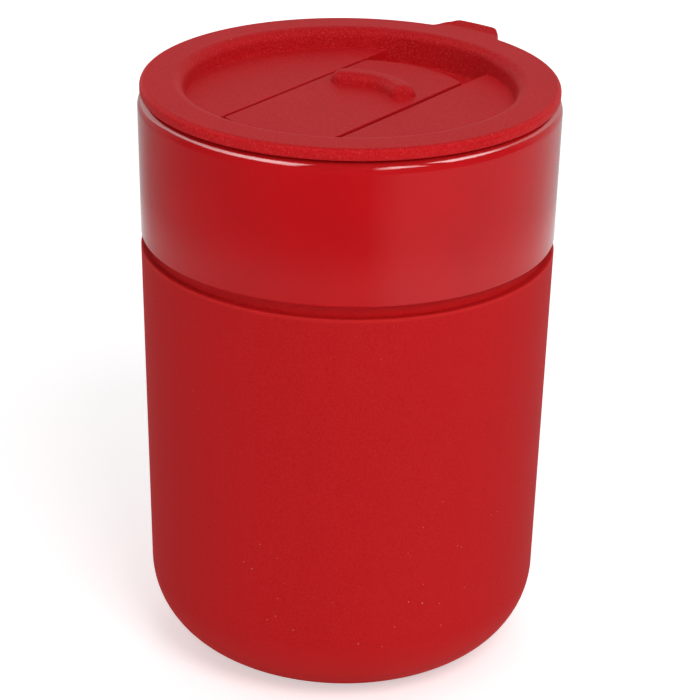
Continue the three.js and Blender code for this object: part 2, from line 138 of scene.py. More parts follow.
class LidSettings(PropertyGroup):
    """Lid body with its well, track, lift tab and plug skirt, and the sealing ring."""

    radius: length("Rim radius", "Lid at its rim", 42.2 * MM)
    height: length("Height", "Table to the top of the rim", 123.0 * MM)
    rim_thickness: length("Rim thickness", "Rim at its edge", 2.4 * MM)
    rim_round: length("Rim round", "Rounding of the rim's top edge", 1.5 * MM)
    well_depth: length("Well depth", "Rim down to the well's floor", 4.0 * MM)
    well_radius: length("Well radius", "Well at its floor", 32.9 * MM)
    well_draft: length("Well draft", "How much wider the well is at its mouth", 1.0 * MM)
    well_round: length("Well round", "Rounding from the rim into the well", 2.8 * MM)
    track_width: length("Track width", "Sunk track that the slider runs in", 25.5 * MM)
    track_near: length("Track end", "Lid's axis to the track's end, on the drinker's side", 28.7 * MM)
    track_depth: length("Track depth", "Rim down to the track's floor", 6.5 * MM)
    track_floor: length("Track floor", "Thickness under the track", 1.8 * MM)
    skirt_radius: length("Skirt radius", "Outside of the plug skirt", 36.4 * MM)
    skirt_wall: length("Skirt wall", "Thickness of the plug skirt", 2.6 * MM)
    skirt_depth: length("Skirt depth", "Rim top down to the skirt's end", 16.0 * MM)
    tab_reach: length("Tab reach", "Lift tab beyond the rim", 3.5 * MM)
    tab_root: length("Tab root", "Width of the tab at the rim", 16.0 * MM)
    tab_tip: length("Tab tip", "Width of the tab at its end", 9.4 * MM)
    tab_corner: length("Tab corner", "Rounding of the tab's corners", 1.9 * MM)
    tab_flare: length("Tab flare", "Hollow round where the tab leaves the rim", 2.6 * MM)
    tab_lift: length("Tab lift", "How far the tab's end turns up", 0.9 * MM)
    hole_width: length("Drinking hole width", "Across the track", 14.0 * MM)
    hole_near: length("Drinking hole near edge", "Along the track from the axis", -25.9 * MM)
    hole_far: length("Drinking hole far edge", "Along the track from the axis", -20.9 * MM)
    plastic: colour("Plastic", "Colour of the moulded lid", (0.53, 0.0004, 0.0035))
    # the crumbs' lighter, pinker colour is a painted sheen on the plastic's real grain
    crumb_sheen: colour("Crumb sheen", "Colour of the grain's raised crumbs", (0.58, 0.0150, 0.0190))
    # painted glints: pale specks in the colour that stand in for sparkle on the grain
    glint: colour("Glint", "Colour of the grain's glints", (0.80, 0.22, 0.20))
    glint_share: share("Glint share", "How far a glint changes the colour", 0.12)
    dust: colour("Dust", "Colour of the dust on the lid", (0.62, 0.34, 0.32))
    grain_roughness: share("Plastic roughness", "Roughness of the spark-grained finish", 0.54)
    seal: colour("Seal", "Colour of the clear silicone seals", (0.72, 0.69, 0.64))


class SliderSettings(PropertyGroup):
    """Slider with its thumb ridge, posts, keeper and seal pad."""

    top: length("Top height", "Table to the slider's flat top", 119.1 * MM)
    thickness: length("Thickness", "Thickness of the plate", 2.3 * MM)
    half_width: length("Half width", "Lid's axis to the slider's side", slider_high.x)
    near: length("Near end", "Lid's axis to the rounded end over the hole", -slider_low.y)
    far: length("Far end", "Lid's axis to the end by the tab", 25.0 * MM)
    edge: length("Edge", "Rounding of the plate's edges", 0.28 * MM)
    ridge_height: length("Ridge height", "Thumb ridge above the plate", 2.3 * MM)
    ridge_apex: length("Ridge apex", "Lid's axis to the middle of the ridge", 9.83 * MM)
    ridge_bow: length("Ridge bow", "Radius of the ridge's arc in plan", 13.15 * MM)
    ridge_half_chord: length("Ridge half chord", "Middle of the ridge to the centre of its end", 7.14 * MM)
    ridge_half_width: length("Ridge half width", "Middle line of the ridge to its foot", 2.85 * MM)
    post_radius: length("Post radius", "Posts through the track's slot", 2.0 * MM)
    head_radius: length("Head radius", "Flattened ends of the posts", 2.9 * MM)
    post_near: length("Near post", "Along the track from the axis", -5.0 * MM)
    post_far: length("Far post", "Along the track from the axis", 8.0 * MM)


class StageSettings(PropertyGroup):
    """Floor, light and camera."""

    azimuth: angle("Azimuth", "Camera's turn round the mug", 36)
    pitch: angle("Pitch", "Camera's downward tilt", 23.777)
    roll: angle("Roll", "Camera's roll", 1.063)
    distance: length("Distance", "Camera to the mug's axis, over the floor", 530.92 * MM)
    height: length("Height", "Camera above the floor", 297.6 * MM)
    focal: FloatProperty(name="Focal length", description="Millimetres on a 36 mm sensor", default=143.06)
    shift: FloatProperty(name="Shift", description="Sideways shift of the picture", default=0.00646)
    floor: colour("Floor", "Colour of the floor", (0.95, 0.95, 0.95))


SETTINGS = {
    "mug_cup": CupSettings,
    "mug_sleeve": SleeveSettings,
    "mug_lid": LidSettings,
    "mug_slider": SliderSettings,
    "mug_stage": StageSettings,
}


def full_turn(count):
    """Equal angles round a full turn."""
    return np.linspace(0, 2 * math.pi, count, endpoint=False)


def soft_path(corners, steps=7, ease=0.05 * MM):
    """Points along corners (across, up, round), each value a number or an array over the angles.

    A round becomes a circular arc that touches both sides of its corner. It leaves the sides at
    round * tan(turn / 2) from the corner, and is the conic through there with weight cos(turn / 2).
    That distance stays within a least and a most share of the shorter side.
    One more point stands just off each end of the arc, so that flats shade flat.
    The result has the shape (points, 2, angles).
    """
    least, most = 0.02, 0.47
    values = np.broadcast_arrays(*[np.atleast_1d(value) for corner in corners for value in corner])
    table = np.array(values, float).reshape(len(corners), 3, -1)
    places = table[:, :2]
    sides = places[1:] - places[:-1]
    lengths = np.linalg.norm(sides, axis=1)
    units = sides / lengths[:, None]
    share_of_arc = np.linspace(0, 1, steps)[:, None, None]
    path = [places[:1]]
    for k in range(1, len(corners) - 1):
        corner, back, ahead = places[k], units[k - 1], units[k]
        half_turn = np.arccos(np.clip((back * ahead).sum(axis=0), -1, 1)) / 2
        shorter = np.minimum(lengths[k - 1], lengths[k])
        reach = np.clip(table[k, 2] * np.tan(half_turn), least * shorter, most * shorter)
        start = corner - back * reach
        end = corner + ahead * reach
        weight = np.cos(half_turn)
        near_start = (1 - share_of_arc) ** 2
        near_corner = 2 * share_of_arc * (1 - share_of_arc) * weight
        near_end = share_of_arc ** 2
        total = near_start + near_corner + near_end
        arc = (near_start * start + near_corner * corner + near_end * end) / total
        before = start - back * np.minimum(ease, least * lengths[k - 1])
        after = end + ahead * np.minimum(ease, least * lengths[k])
        path += [before[None], arc, after[None]]
    path.append(places[-1:])
    return np.concatenate(path)


def turned(path, angles):
    """Rings of a profile turned about Z: a point (r, z) at angle a stands at (r cos a, r sin a, z)."""
    radius, height = path[:, 0], path[:, 1]
    across = radius * np.cos(angles)
    along = radius * np.sin(angles)
    return np.stack([across, along, np.broadcast_to(height, across.shape)], axis=-1)


def ring_mesh(name, rings, loop=False):
    """A mesh of four-sided faces between each ring and the next.

    With loop, the last ring joins the first. Without it, the first and last rings shrink to one
    point each, which closes the ends with triangles.
    """
    count, around = rings.shape[:2]
    if loop:
        points = rings.reshape(-1, 3)
        here = np.arange(count * around).reshape(count, around)
        there = np.roll(here, -1, axis=0)
        triangles = np.empty((0, 3), int)
    else:
        poles = np.stack([rings[0].mean(axis=0), rings[-1].mean(axis=0)])
        points = np.concatenate([rings[1:-1].reshape(-1, 3), poles])
        grid = np.arange((count - 2) * around).reshape(count - 2, around)
        here, there = grid[:-1], grid[1:]
        first = np.full(around, len(points) - 2)
        last = np.full(around, len(points) - 1)
        opening = np.stack([first, np.roll(grid[0], -1), grid[0]], axis=-1)
        closing = np.stack([grid[-1], np.roll(grid[-1], -1), last], axis=-1)
        triangles = np.concatenate([opening, closing])
    here_next, there_next = np.roll(here, -1, axis=1), np.roll(there, -1, axis=1)
    quads = np.stack([here, here_next, there_next, there], axis=-1).reshape(-1, 4)
    corners = np.concatenate([quads.ravel(), triangles.ravel()])
    starts = np.concatenate([4 * np.arange(len(quads)), 4 * len(quads) + 3 * np.arange(len(triangles))])
    mesh = bpy.data.meshes.new(name)
    mesh.vertices.add(len(points))
    mesh.vertices.foreach_set("co", points.astype(np.float32).ravel())
    mesh.loops.add(len(corners))
    mesh.loops.foreach_set("vertex_index", corners.astype(np.int32))
    mesh.polygons.add(len(starts))
    mesh.polygons.foreach_set("loop_start", starts.astype(np.int32))
    mesh.update(calc_edges=True)
    return mesh


def placed(name, mesh):
    """An object at the origin that shows the mesh."""
    piece = bpy.data.objects.new(name, mesh)
    bpy.context.scene.collection.objects.link(piece)
    return piece


def ring_piece(name, rings, loop=False):
    """An object at the origin made of rings."""
    return placed(name, ring_mesh(name, rings, loop))


def carve(piece, rings, operation):
    """Joins the shape of some rings on to a piece, or cuts it out, and keeps the result as its mesh."""
    tool = ring_piece("carving_tool", rings)
    modifier = piece.modifiers.new("carve", "BOOLEAN")
    modifier.operation = operation
    modifier.solver = "EXACT"
    modifier.object = tool
    bpy.context.view_layer.update()
    result = bpy.data.meshes.new_from_object(piece.evaluated_get(bpy.context.evaluated_depsgraph_get()))
    piece.modifiers.clear()
    spent = (piece.data, tool.data)
    piece.data = result
    bpy.data.objects.remove(tool)
    for mesh in spent:
        bpy.data.meshes.remove(mesh)


def feed(tree, socket, value):
    """Gives an input a plain value or another node's output."""
    if isinstance(value, bpy.types.NodeSocket):
        tree.links.new(value, socket)
    else:
        socket.default_value = value


def fill(tree, node, **values):
    """Feeds some of a node's inputs by name."""
    for name, value in values.items():
        feed(tree, node.inputs[name.replace("_", " ")], value)
    return node


def add_node(tree, kind, **values):
    """A new node of a kind, with some of its inputs fed by name."""
    return fill(tree, tree.nodes.new(kind), **values)


def ramp(tree, value, low, high, at_low=0.0, at_high=1.0):
    """A value carried from the span low to high on to another span, and held within it."""
    node = add_node(
        tree, "ShaderNodeMapRange", Value=value, From_Min=low, From_Max=high, To_Min=at_low, To_Max=at_high
    )
    return node.outputs["Result"]


def maths(tree, operation, first, second):
    """The result of a Math node, held between 0 and 1."""
    node = tree.nodes.new("ShaderNodeMath")
    node.operation = operation
    node.use_clamp = True
    for socket, value in zip(node.inputs, (first, second)):
        feed(tree, socket, value)
    return node.outputs["Value"]


def height_of(tree, place):
    """Height of a place."""
    return add_node(tree, "ShaderNodeSeparateXYZ", Vector=place).outputs["Z"]


def off_axis(tree, place):
    """Distance of a place from the upright axis."""
    flat = add_node(tree, "ShaderNodeMapping", Vector=place, Scale=(1, 1, 0)).outputs["Vector"]
    size = tree.nodes.new("ShaderNodeVectorMath")
    size.operation = "LENGTH"
    feed(tree, size.inputs[0], flat)
    return size.outputs["Value"]


def mixed(tree, amount, low, high):
    """A colour that goes from low to high with an amount. Low and high are outputs or plain colours."""
    node = tree.nodes.new("ShaderNodeMix")
    node.data_type = "RGBA"
    feed(tree, node.inputs[MIX_FACTOR], amount)
    for place, value in ((MIX_LOW, low), (MIX_HIGH, high)):
        is_output = isinstance(value, bpy.types.NodeSocket)
        feed(tree, node.inputs[place], value if is_output else (*value, 1.0))
    return node.outputs[MIX_RESULT]


def bumped(tree, height, strength, distance):
    """A shading normal raised by a height."""
    node = add_node(tree, "ShaderNodeBump", Height=height, Strength=strength, Distance=distance)
    return node.outputs["Normal"]


def tinted(colour_value, factor):
    """A colour made darker or lighter by a factor."""
    return tuple(min(1.0, channel * factor) for channel in colour_value)


def new_group(name, inputs, outputs):
    """An empty shader node group with a Vector input, float inputs with defaults, and float outputs.

    Gives its tree, the values given to it, and the node that takes its results.
    """
    tree = bpy.data.node_groups.new(name, "ShaderNodeTree")
    tree.interface.new_socket("Vector", in_out="INPUT", socket_type="NodeSocketVector")
    for label, default in inputs.items():
        socket = tree.interface.new_socket(label, in_out="INPUT", socket_type="NodeSocketFloat")
        socket.default_value = default
    for label in outputs:
        tree.interface.new_socket(label, in_out="OUTPUT", socket_type="NodeSocketFloat")
    return tree, tree.nodes.new("NodeGroupInput").outputs, tree.nodes.new("NodeGroupOutput")


def group_noise(tree, given, roughness):
    """Noise of two octaves at a group's place and scale."""
    where = {"Vector": given["Vector"], "Scale": given["Scale"]}
    return add_node(tree, "ShaderNodeTexNoise", **where, Detail=2.0, Roughness=roughness).outputs["Fac"]


def mottle_group(name):
    """Slow cloudy change over the surface: noise stretched from Low to High."""
    tree, given, put = new_group(name, {"Scale": 40.0, "Low": 0.0, "High": 1.0}, ["Amount"])
    noise = group_noise(tree, given, 0.5)
    fill(tree, put, Amount=ramp(tree, noise, 0.3, 0.7, given["Low"], given["High"]))
    return tree


def grain_group(name):
    """Fine moulded grain: noise for its height, the same noise stretched for the tone of a painted sheen and
    shade, and rare glints that are painted into the colour.
    """
    tree, given, put = new_group(
        name, {"Scale": 3000.0, "Glint From": 0.60, "Glint To": 0.72}, ["Height", "Tone", "Glint"]
    )
    noise = group_noise(tree, given, 0.6)
    glint = ramp(tree, noise, given["Glint From"], given["Glint To"])
    fill(tree, put, Height=noise, Tone=ramp(tree, noise, 0.32, 0.68), Glint=glint)
    return tree


def dust_group(name):
    """Sparse specks: a round spot at the heart of some cells of a cell pattern, chosen by cell colour."""
    tree, given, put = new_group(name, {"Scale": 300.0, "Size": 0.12, "Rarity": 0.8}, ["Mask"])
    cells = add_node(
        tree, "ShaderNodeTexVoronoi", Vector=given["Vector"], Scale=given["Scale"], Randomness=1.0
    ).outputs
    chance = add_node(tree, "ShaderNodeSeparateColor", Color=cells["Color"]).outputs["Red"]
    chosen = maths(tree, "GREATER_THAN", chance, given["Rarity"])
    spot = ramp(tree, cells["Distance"], 0.0, given["Size"], 1.0, 0.0)
    fill(tree, put, Mask=maths(tree, "MULTIPLY", spot, chosen))
    return tree


GROUPS = {"soft_mottle": mottle_group, "moulded_grain": grain_group, "dust_specks": dust_group}


def use_group(tree, name, place, **values):
    """The outputs of a shared effect on Object coordinates, with its own values.

    Its group is made the first time it is asked for.
    """
    node = tree.nodes.new("ShaderNodeGroup")
    node.node_tree = bpy.data.node_groups.get(name) or GROUPS[name](name)
    return fill(tree, node, Vector=place, **values).outputs


def new_material(name):
    """A material with a Principled shader: the material, its tree, the shader and the Object coordinates."""
    material = bpy.data.materials.new(name)
    material.use_nodes = True
    tree = material.node_tree
    place = tree.nodes.new("ShaderNodeTexCoord").outputs["Object"]
    return material, tree, tree.nodes["Principled BSDF"], place


def glaze_material(cup):
    """Glossy fired glaze: cloudy depth of colour, thinner at the lip, with a faint waviness."""
    material, tree, shader, place = new_material("red_glaze")
    cloud = use_group(tree, "soft_mottle", place, Scale=55.0)["Amount"]
    depth = mixed(tree, cloud, tinted(cup.glaze, 0.95), tinted(cup.glaze, 1.05))
    thin_run = 1.2 * MM
    lip = ramp(tree, height_of(tree, place), cup.lip_height - thin_run, cup.lip_height, at_high=0.7)
    wave = use_group(tree, "soft_mottle", place, Scale=120.0)["Amount"]
    fill(
        tree,
        shader,
        Base_Color=mixed(tree, lip, depth, cup.glaze_thin),
        Roughness=cup.gloss_roughness,
        IOR=1.5,
        Normal=bumped(tree, wave, 0.25, 0.02 * MM),
    )
    return material


def painted_light_mask(tree, place, sleeve):
    """Where light is painted on the sleeve: a painted highlight along its top edge, out from the collar, and
    painted light on the round of its base.
    """
    height = height_of(tree, place)
    high = ramp(tree, height, sleeve.height - 0.8 * MM, sleeve.height - 0.4 * MM)
    out = ramp(tree, off_axis(tree, place), sleeve.radius - 0.7 * MM, sleeve.radius - 0.3 * MM)
    base = ramp(tree, height, 5 * MM, 16 * MM, 1.0, 0.0)
    return maths(tree, "MAXIMUM", maths(tree, "MULTIPLY", high, out), base)


def sleeve_material(sleeve):
    """Matte silicone: a fine skin with a painted sheen on its crumbs and painted shade in its hollows, a slow
    change of tone and sparse dust, and a painted highlight along the top edge and painted light round the
    base.
    """
    material, tree, shader, place = new_material("red_silicone")
    cloud = use_group(tree, "soft_mottle", place, Scale=28.0)["Amount"]
    grain = use_group(tree, "moulded_grain", place, Scale=2800.0)
    # grain tone: painted shade in the hollows and a painted sheen on the crumbs, over the silicone's own slow
    # change of tone
    hollow = mixed(tree, cloud, tinted(sleeve.silicone, 0.93), tinted(sleeve.silicone, 0.99))
    tone = mixed(tree, grain["Tone"], hollow, sleeve.crumb_sheen)
    fine = use_group(tree, "dust_specks", place, Scale=560.0, Size=0.10, Rarity=0.70)["Mask"]
    drift = use_group(tree, "soft_mottle", place, Scale=24.0, Low=-0.6, High=1.3)["Amount"]
    dusty = mixed(tree, maths(tree, "MULTIPLY", fine, drift), tone, tinted(sleeve.dust, 0.9))
    lint = use_group(tree, "dust_specks", place, Scale=105.0, Size=0.024, Rarity=0.70)["Mask"]
    linty = mixed(tree, lint, dusty, sleeve.dust)
    fill(
        tree,
        shader,
        # painted highlight along the top edge and painted light round the base, mixed into the colour
        Base_Color=mixed(tree, painted_light_mask(tree, place, sleeve), linty, sleeve.painted_light),
        Roughness=ramp(tree, grain["Height"], 0, 1, 0.58, 0.72),
        IOR=1.42,
        Specular_IOR_Level=0.2,
        Normal=bumped(tree, grain["Height"], 0.45, 0.05 * MM),
    )
    return material


def lid_material(lid):
    """Spark-grained moulded plastic: fine grain with a painted sheen on its crumbs and painted shade in its
    hollows, tiny painted glints, and a few specks of dust.
    """
    material, tree, shader, place = new_material("red_plastic")
    cloud = use_group(tree, "soft_mottle", place, Scale=70.0)["Amount"]
    grain = use_group(tree, "moulded_grain", place, Scale=2600.0)
    # grain tone: painted shade in the hollows and a painted sheen on the crumbs, over the plastic's own slow
    # change of tone
    hollow = mixed(tree, cloud, tinted(lid.plastic, 0.92), tinted(lid.plastic, 0.97))
    crumb_sheen = mixed(tree, cloud, lid.crumb_sheen, tinted(lid.crumb_sheen, 1.05))
    tone = mixed(tree, grain["Tone"], hollow, crumb_sheen)
    # painted glints: pale specks mixed into the colour stand in for sparkle of light
    lively = mixed(tree, maths(tree, "MULTIPLY", grain["Glint"], lid.glint_share), tone, lid.glint)
    lint = use_group(tree, "dust_specks", place, Scale=230.0, Size=0.05, Rarity=0.86)["Mask"]
    rough, spread = lid.grain_roughness, 0.05
    fill(
        tree,
        shader,
        Base_Color=mixed(tree, lint, lively, lid.dust),
        Roughness=ramp(tree, grain["Height"], 0, 1, rough - spread, rough + spread),
        IOR=1.49,
        Specular_IOR_Level=0.165,
        Normal=bumped(tree, grain["Height"], 0.75, 0.05 * MM),
    )
    return material


def seal_material(lid):
    """Pale translucent silicone: a milky tone that changes slowly, with a fine skin."""
    material, tree, shader, place = new_material("clear_silicone")
    cloud = use_group(tree, "soft_mottle", place, Scale=90.0)["Amount"]
    grain = use_group(tree, "moulded_grain", place, Scale=1800.0)["Height"]
    fill(
        tree,
        shader,
        Base_Color=mixed(tree, cloud, tinted(lid.seal, 0.94), lid.seal),
        Roughness=ramp(tree, grain, 0, 1, 0.40, 0.55),
        IOR=1.42,
        Normal=bumped(tree, grain, 0.15, 0.03 * MM),
    )
    return material


MATERIALS = {
    "glaze": ("red_glaze", glaze_material),
    "sleeve_silicone": ("red_silicone", sleeve_material),
    "lid_plastic": ("red_plastic", lid_material),
    "seal_silicone": ("clear_silicone", seal_material),
}


def dress(piece, body, node, slot, settings):
    """Gives a piece its shading and material, and lets it stand for its CAD node on that node's body.

    The material of a slot is made the first time it is asked for.
    """
    name, make = MATERIALS[slot]
    piece.data.name = piece.name
    piece.data.shade_smooth()
    piece.data.set_sharp_from_angle(angle=SHARP_ANGLE)
    piece.data.materials.clear()
    piece.data.materials.append(bpy.data.materials.get(name) or make(settings))
    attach(piece, body)
    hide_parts(node)


def cup_section(cup, sleeve):
    """The cup's section: foot ring, thin body inside the sleeve, thick band, lip, and down the inside."""
    offset = sleeve.wall + cup.sleeve_gap
    slope = sleeve.taper / sleeve.height
    foot_of_side = sleeve.radius - sleeve.taper - offset

    def outside(height):
        return foot_of_side + slope * height

    def inside(height):
        return outside(height) - cup.wall

    band_bottom = cup.lip_height - cup.band_height
    base_round = sleeve.base_round - offset
    mouth = cup.radius - cup.lip_wall
    floor = cup.base_height + cup.floor
    step = sleeve.height - cup.wall
    foot = outside(cup.base_height) - base_round - cup.foot_width
    recess = cup.base_height + cup.foot_recess
    foot_edge, groove_round = 0.4 * MM, 0.5 * MM
    corners = [
        (0, recess, 0),
        (foot - cup.foot_recess, recess, foot_edge),
        (foot, cup.base_height, foot_edge),
        (outside(cup.base_height), cup.base_height, base_round),
        (outside(band_bottom), band_bottom, groove_round),
        (cup.radius - cup.band_taper, band_bottom, cup.band_edge),
        (cup.radius, cup.lip_height, cup.lip_outer_round),
        (mouth, cup.lip_height, cup.lip_inner_round),
        (mouth, band_bottom + cup.wall, cup.inner_round),
        (inside(step), step, cup.inner_round),
        (inside(floor), floor, cup.inner_round),
        (0, floor, 0),
    ]
    return soft_path(corners, steps=12)


class MUG_OT_cup(Operator):
    """Glazed cup: a thick band at the lip that steps in to the thinner body inside the sleeve"""

    bl_idname = "mug.cup"
    bl_label = "Glazed cup"

    def execute(self, context):
        cup, sleeve = context.scene.mug_cup, context.scene.mug_sleeve
        piece = ring_piece("glazed_cup", turned(cup_section(cup, sleeve), full_turn(TURN_STEPS)))
        dress(piece, "mug", "ceramic_cup", "glaze", cup)
        return {"FINISHED"}


def sleeve_section(cup, sleeve):
    """The sleeve's section: base, large round, tapering side, top edge, collar, and down the inside."""
    collar = sleeve.radius - sleeve.groove_depth
    collar_top = cup.lip_height - cup.band_height - cup.sleeve_gap
    base = sleeve.radius - sleeve.taper
    slope = sleeve.taper / sleeve.height
    crease, collar_edge = 0.1 * MM, 0.2 * MM

    def inside(height):
        return base + slope * height - sleeve.wall

    corners = [
        (0, 0, 0),
        (base, 0, sleeve.base_round),
        (sleeve.radius, sleeve.height, sleeve.top_edge),
        (collar, sleeve.height, crease),
        (collar, collar_top, collar_edge),
        (inside(collar_top), collar_top, collar_edge),
        (inside(sleeve.floor), sleeve.floor, sleeve.base_round - sleeve.wall),
        (0, sleeve.floor, 0),
    ]
    return soft_path(corners, steps=24)


class MUG_OT_sleeve(Operator):
    """Silicone sleeve: a boot with a tapering side, a large base round, and a thin collar in the groove"""

    bl_idname = "mug.sleeve"
    bl_label = "Silicone sleeve"

    def execute(self, context):
        cup, sleeve = context.scene.mug_cup, context.scene.mug_sleeve
        piece = ring_piece("sleeve_boot", turned(sleeve_section(cup, sleeve), full_turn(TURN_STEPS)))
        dress(piece, "mug", "silicone_sleeve", "sleeve_silicone", sleeve)
        return {"FINISHED"}


def corner_angles(half, near, far):
    """Angles of the four corners of a plan with straight sides and two ends round the axis."""
    near_turn, far_turn = math.asin(half / near), math.asin(half / far)
    quarter = math.pi / 2
    return np.array([-quarter - near_turn, -quarter + near_turn, quarter - far_turn, quarter + far_turn])


def joined_angles(*sets):
    """Sets of angles put together in order within a full turn, with no two the same."""
    return np.unique(np.round(np.concatenate(sets) % (2 * math.pi), 4))


def track_radius(angles, half, near, far):
    """Distance from the axis to the edge of a plan with straight sides and two ends round the axis."""
    side = half / np.maximum(np.abs(np.cos(angles)), 1e-9)
    end = np.where(np.sin(angles) < 0, near, far)
    return np.minimum(side, end)


def tab_outline(lid, angles):
    """Distance from the axis to the lid's outer edge: the rim's circle, or the lift tab where it stands out.

    The tab's edge is a path with hollow flares at the rim and rounded corners at its end, read as
    distance against angle.
    """
    neck, tip = lid.tab_root / 2, lid.tab_tip / 2
    spread = neck + lid.tab_flare
    end = lid.radius + lid.tab_reach

    def on_rim(x):
        return math.sqrt(lid.radius ** 2 - x ** 2)

    side = [(spread, on_rim(spread), 0), (neck, on_rim(neck), lid.tab_flare), (tip, end, lid.tab_corner)]
    other_side = [(-x, y, size) for x, y, size in reversed(side)]
    edge = soft_path(side + other_side, steps=12)[:, :, 0]
    turn = np.arctan2(edge[:, 1], edge[:, 0])
    reach = np.hypot(edge[:, 0], edge[:, 1])
    return np.maximum(lid.radius, np.interp(angles, turn, reach, left=0, right=0))


def lid_angles(lid):
    """Angles round the lid, closer together at the lift tab and at the corners of the track."""
    corners = corner_angles(lid.track_width / 2, lid.track_near, lid.well_radius)
    close = corners[:, None] + np.radians(np.linspace(-1.6, 1.6, 17))
    tab = math.pi / 2 + np.radians(np.linspace(-16, 16, 129))
    return joined_angles(full_turn(252), close.ravel(), tab)


def rounded_plate(corners, bottom, top, edge, flare=0.0):
    """Rings of a plate with a plan of rounded corners and eased edges, or edges that flare out.

    The plan's points are moved in along their outward normals by an arc's profile at each edge.
    """
    start = tuple((np.array(corners[0][:2]) + np.array(corners[-1][:2])) / 2)
    plan = soft_path([(*start, 0), *corners, (*start, 0)], steps=8)[:-1, :, 0]
    tangent = np.roll(plan, -1, axis=0) - np.roll(plan, 1, axis=0)
    normal = np.stack([tangent[:, 1], -tangent[:, 0]], axis=-1)
    normal /= np.linalg.norm(normal, axis=-1, keepdims=True)
    turn = np.linspace(0, math.pi / 2, 7)
    size = flare if flare else edge
    inset = size * (1 - np.sin(turn)) * (-1 if flare else 1)
    lift = size * (1 - np.cos(turn))
    offsets = np.concatenate([inset, inset[::-1]])
    heights = np.concatenate([bottom + lift, (top - lift)[::-1]])
    rings = plan[None] - normal[None] * offsets[:, None, None]
    levels = np.broadcast_to(heights[:, None, None], (*rings.shape[:2], 1))
    rings = np.concatenate([rings, levels], axis=-1)
    middle = plan.mean(axis=0)
    first = np.broadcast_to([*middle, bottom], (1, len(plan), 3))
    last = np.broadcast_to([*middle, top], (1, len(plan), 3))
    return np.concatenate([first, rings, last])


def box_corners(from_x, to_x, from_y, to_y, round_size):
    """Corners of a rectangle, each with the same round."""
    return [
        (from_x, from_y, round_size),
        (to_x, from_y, round_size),
        (to_x, to_y, round_size),
        (from_x, to_y, round_size),
    ]


def lid_section(lid, angles):
    """The lid's section at each angle: from the track's floor over the rim and down round the skirt.

    At the track's far end the step beside it melts into the well's wall. An eased share of the way,
    melt, moves the step's brink and the track's edge on to the line of that wall.
    The lift tab is the rim drawn out to the tab's outline, raised and thinned towards its end.
    """
    half = lid.track_width / 2
    slope = lid.well_draft / lid.well_depth
    melt_run, melt_step = 1.2 * MM, 0.5 * MM
    track = track_radius(angles, half, lid.track_near, lid.well_radius)
    melt = np.clip((track - lid.well_radius + melt_run) / melt_run, 0, 1) * (np.sin(angles) > 0)
    melt = melt ** 2 * (3 - 2 * melt)
    step = melt_step * melt
    foot, foot_z = lid.well_radius + slope * step, step - lid.well_depth
    brink, brink_z = track + melt * (lid.well_radius - track) - slope * step, -step - lid.well_depth
    end_foot = lid.well_radius - slope * (lid.track_depth - lid.well_depth)
    track = track + melt * (end_foot - track)
    most_round = 0.4 * (foot - brink)
    edge = tab_outline(lid, angles)
    stands_out = edge - lid.radius
    tab_run, tab_thinning, tab_bend, bend_round = 1.5 * MM, 0.5 * MM, 3.1 * MM, 2.2 * MM
    tab = np.clip(stands_out / tab_run, 0, 1)
    lift = lid.tab_lift * stands_out / lid.tab_reach
    thin = tab_thinning * tab
    bend = lid.radius - bend_round + tab_bend * tab
    skirt_inner = lid.skirt_radius - lid.skirt_wall
    tray_wall, tray_gap = 1.6 * MM, 1.1 * MM
    tray_limit = skirt_inner - tray_gap
    tray = track_radius(angles, half + tray_wall, lid.track_near + tray_wall, tray_limit)
    tray_under = -lid.track_depth - lid.track_floor
    at_skirt = tray > tray_limit - 0.3 * MM
    under = np.where(at_skirt, tray_under + 0.4 * MM, -lid.well_depth - 2.0 * MM)
    gasket_top = gasket_high.z + FIT - lid.height
    gasket_bottom = gasket_low.z - FIT - lid.height
    seat = lid.skirt_radius - 1.0 * MM
    groove_edge, small_round, skirt_round, under_bend = 0.15 * MM, 0.5 * MM, 0.8 * MM, 1.5 * MM
    crease, brink_round, foot_round = 0.3 * MM, 0.25 * MM, 0.06 * MM
    corners = [
        (0, -lid.track_depth, 0),
        (track, -lid.track_depth, crease),
        (brink, brink_z, np.minimum(brink_round, most_round)),
        (foot, foot_z, np.minimum(foot_round, most_round)),
        (lid.well_radius + lid.well_draft, 0, lid.well_round),
        (bend, 0, bend_round),
        (edge, lift, lid.rim_round),
        (edge, lift - lid.rim_thickness + thin, small_round),
        (bend, -lid.rim_thickness + 0.3 * thin, under_bend),
        (lid.skirt_radius, -lid.rim_thickness, skirt_round),
        (lid.skirt_radius, gasket_top, groove_edge),
        (seat, gasket_top, groove_edge),
        (seat, gasket_bottom, groove_edge),
        (lid.skirt_radius, gasket_bottom, groove_edge),
        (lid.skirt_radius, -lid.skirt_depth, skirt_round),
        (skirt_inner, -lid.skirt_depth, skirt_round),
        (skirt_inner, under, small_round),
        (tray, under, crease),
        (tray, tray_under, small_round),
        (0, tray_under, 0),
    ]
    path = soft_path(corners, steps=6)
    path[:, 1] += lid.height
    return path


def lid_openings(lid, slider):
    """Rings of the drinking hole and of the slot for the slider's posts, which flare at both faces."""
    half_hole = lid.hole_width / 2
    slot_gap, hole_round, past_face, flare = 0.4 * MM, 2.4 * MM, 0.01 * MM, 0.5 * MM
    half_slot = slider.post_radius + slot_gap
    travel = frame["joints"][1]["range_m"][1]
    slot_end = slider.post_far + travel + half_slot
    hole = box_corners(-half_hole, half_hole, lid.hole_near, lid.hole_far, hole_round)
    slot = box_corners(-half_slot, half_slot, slider.post_near - half_slot, slot_end, 0.9 * half_slot)
    top = lid.height - lid.track_depth
    low, high = top - lid.track_floor - past_face, top + past_face
    return [rounded_plate(corners, low, high, 0, flare=flare) for corners in (hole, slot)]


